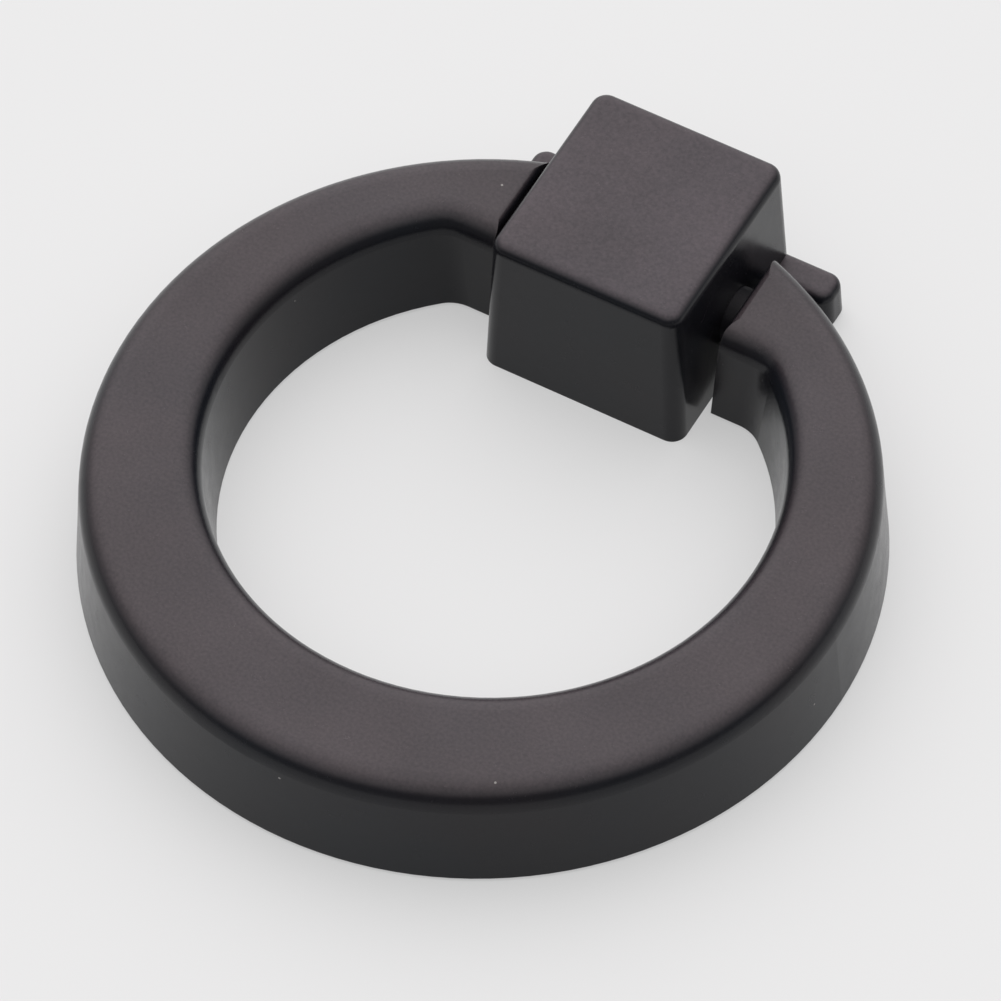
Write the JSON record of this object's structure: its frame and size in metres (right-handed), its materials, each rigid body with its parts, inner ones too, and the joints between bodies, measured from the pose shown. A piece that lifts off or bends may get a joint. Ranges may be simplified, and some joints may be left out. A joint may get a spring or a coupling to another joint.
{
  "type": "ring pull handle",
  "caption": "Drop ring pull for a drawer or door: a thick flat ring swings on a square block that a screw holds from behind.",
  "frame": {"origin": "axis of the mounting screw's threaded hole, at the back face of the block that lies on the door", "axes": "+Z away from the door, +Y up the door from the ring to the block, X along the hinge"},
  "size_m": [0.062, 0.0649, 0.0143],
  "materials": {
    "black_casting": "matt black baked lacquer on a die casting",
    "plated_steel": "dull zinc plating"
  },
  "bodies": {
    "base": {"block": "black_casting", "retaining_plate": "plated_steel", "plate_screw_upper": "plated_steel", "plate_screw_lower": "plated_steel"},
    "pull": {"ring": "black_casting"}
  },
  "joints": [
    {"name": "ring_swing", "type": "hinge", "parent": "base", "child": "pull", "pos_m": [0, 0, 0.0056], "axis": [-1, 0, 0], "range_deg": [0, 180]}
  ]
}
